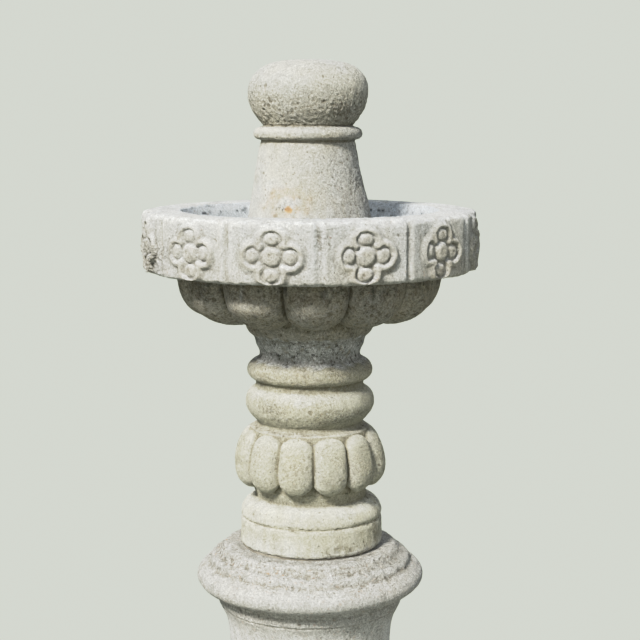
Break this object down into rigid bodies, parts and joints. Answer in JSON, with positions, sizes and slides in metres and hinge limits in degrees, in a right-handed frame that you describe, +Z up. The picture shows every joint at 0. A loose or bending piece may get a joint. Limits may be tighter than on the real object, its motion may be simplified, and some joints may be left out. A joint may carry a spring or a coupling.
{
  "type": "baptismal font",
  "caption": "Pedestal font in cast stone: faceted basin with rosettes on a gadrooned stem and round pedestal, with a bulbous finial over a standing waste.",
  "frame": {"origin": "middle of the square plinth's underside, on the floor", "axes": "+Z up along the axis of pedestal, stem, basin and finial; +X and +Y square to two sides of the plinth, each through the middle of a rosette face"},
  "size_m": [0.4524, 0.4524, 1.1],
  "materials": {
    "cast_stone": "weathered cast stone, pitted and limewashed by age, matt",
    "mortar": "raked lime mortar, matt",
    "stainless_steel": "plain drawn rod",
    "lead": "dull grey lead",
    "aged_brass": "turned brass, dulled by water",
    "black_rubber": "matt",
    "red_fibre": "pressed fibre, matt",
    "copper": "drawn copper tube, browned",
    "grey_plastic": "moulded, matt"
  },
  "bodies": {
    "font": {"plinth": "cast_stone", "plinth_bed": "mortar", "pedestal": "cast_stone", "pedestal_dowels": "stainless_steel", "stem_bed": "mortar", "stem": "cast_stone", "stem_dowels": "stainless_steel", "basin_bed": "mortar", "basin": "cast_stone", "basin_dowels": "stainless_steel", "finial_pins": "stainless_steel", "waste_body": "aged_brass", "waste_gasket": "black_rubber", "fibre_washer": "red_fibre", "backnut": "aged_brass", "coupling_nut": "aged_brass", "compression_ring": "aged_brass", "waste_pipe": "copper", "pipe_spider": "grey_plastic"},
    "finial": {"finial": "cast_stone", "finial_pads": "lead"},
    "standing_waste": {"waste_plug": "aged_brass", "plug_seal": "black_rubber", "standing_tube": "aged_brass", "overflow_cap": "aged_brass", "ring_rest": "aged_brass"},
    "lift_ring": {"lift_ring": "aged_brass"}
  },
  "joints": [
    {"name": "finial_lift", "type": "slide", "parent": "font", "child": "finial", "axis": [0, 0, 1], "range_m": [0, 0.2]},
    {"name": "waste_lift", "type": "slide", "parent": "font", "child": "standing_waste", "axis": [0, 0, 1], "range_m": [0, 0.035]},
    {"name": "ring_swing", "type": "hinge", "parent": "standing_waste", "child": "lift_ring", "pos_m": [0, 0, 0.893], "axis": [-1, 0, 0], "range_deg": [0, 180]}
  ]
}
